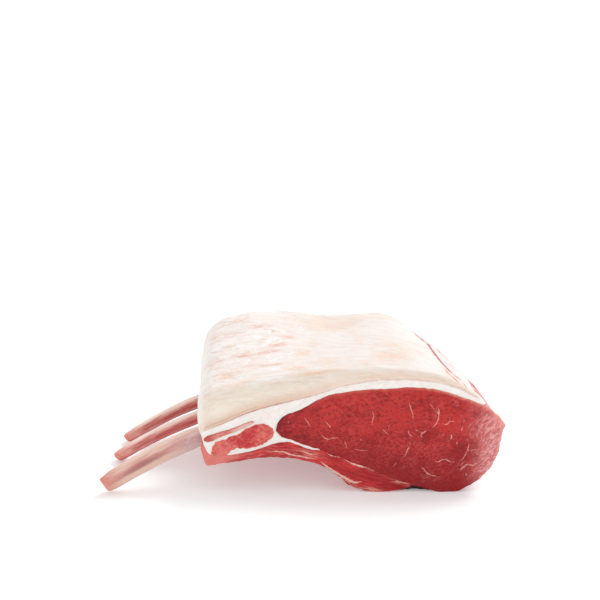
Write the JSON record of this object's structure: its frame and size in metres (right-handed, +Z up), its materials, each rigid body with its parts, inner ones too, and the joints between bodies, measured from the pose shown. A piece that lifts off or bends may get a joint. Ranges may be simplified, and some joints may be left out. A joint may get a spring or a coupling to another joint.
{
  "type": "raw frenched rack of lamb",
  "caption": "Small raw rack of lamb standing on its loin, with a thick fat cap over the cut eye and scraped rib bones reaching down to the table.",
  "frame": {"origin": "middle of the box's underside, on the surface that the meat stands on", "axes": "+X from the bare rib tips to the chine side, +Y from the front cut face to the back cut face, +Z up"},
  "size_m": [0.1272, 0.0642, 0.0415],
  "materials": {
    "fat": "moist, softly streaked raw fat",
    "lean_meat": "moist cut grain with thin white marbling",
    "pale_lean_meat": "moist coarse cut grain",
    "rib_meat": "moist stringy grain along the cut",
    "bone": "scraped bone, blushed with red where a little meat is left"
  },
  "bodies": {
    "root": {"fat_cap": "fat", "loin_eye": "lean_meat", "side_muscle": "pale_lean_meat", "cap_strip": "pale_lean_meat", "rib_meat": "rib_meat", "rib_bone_1": "bone", "rib_bone_2": "bone", "rib_bone_3": "bone"}
  },
  "joints": []
}
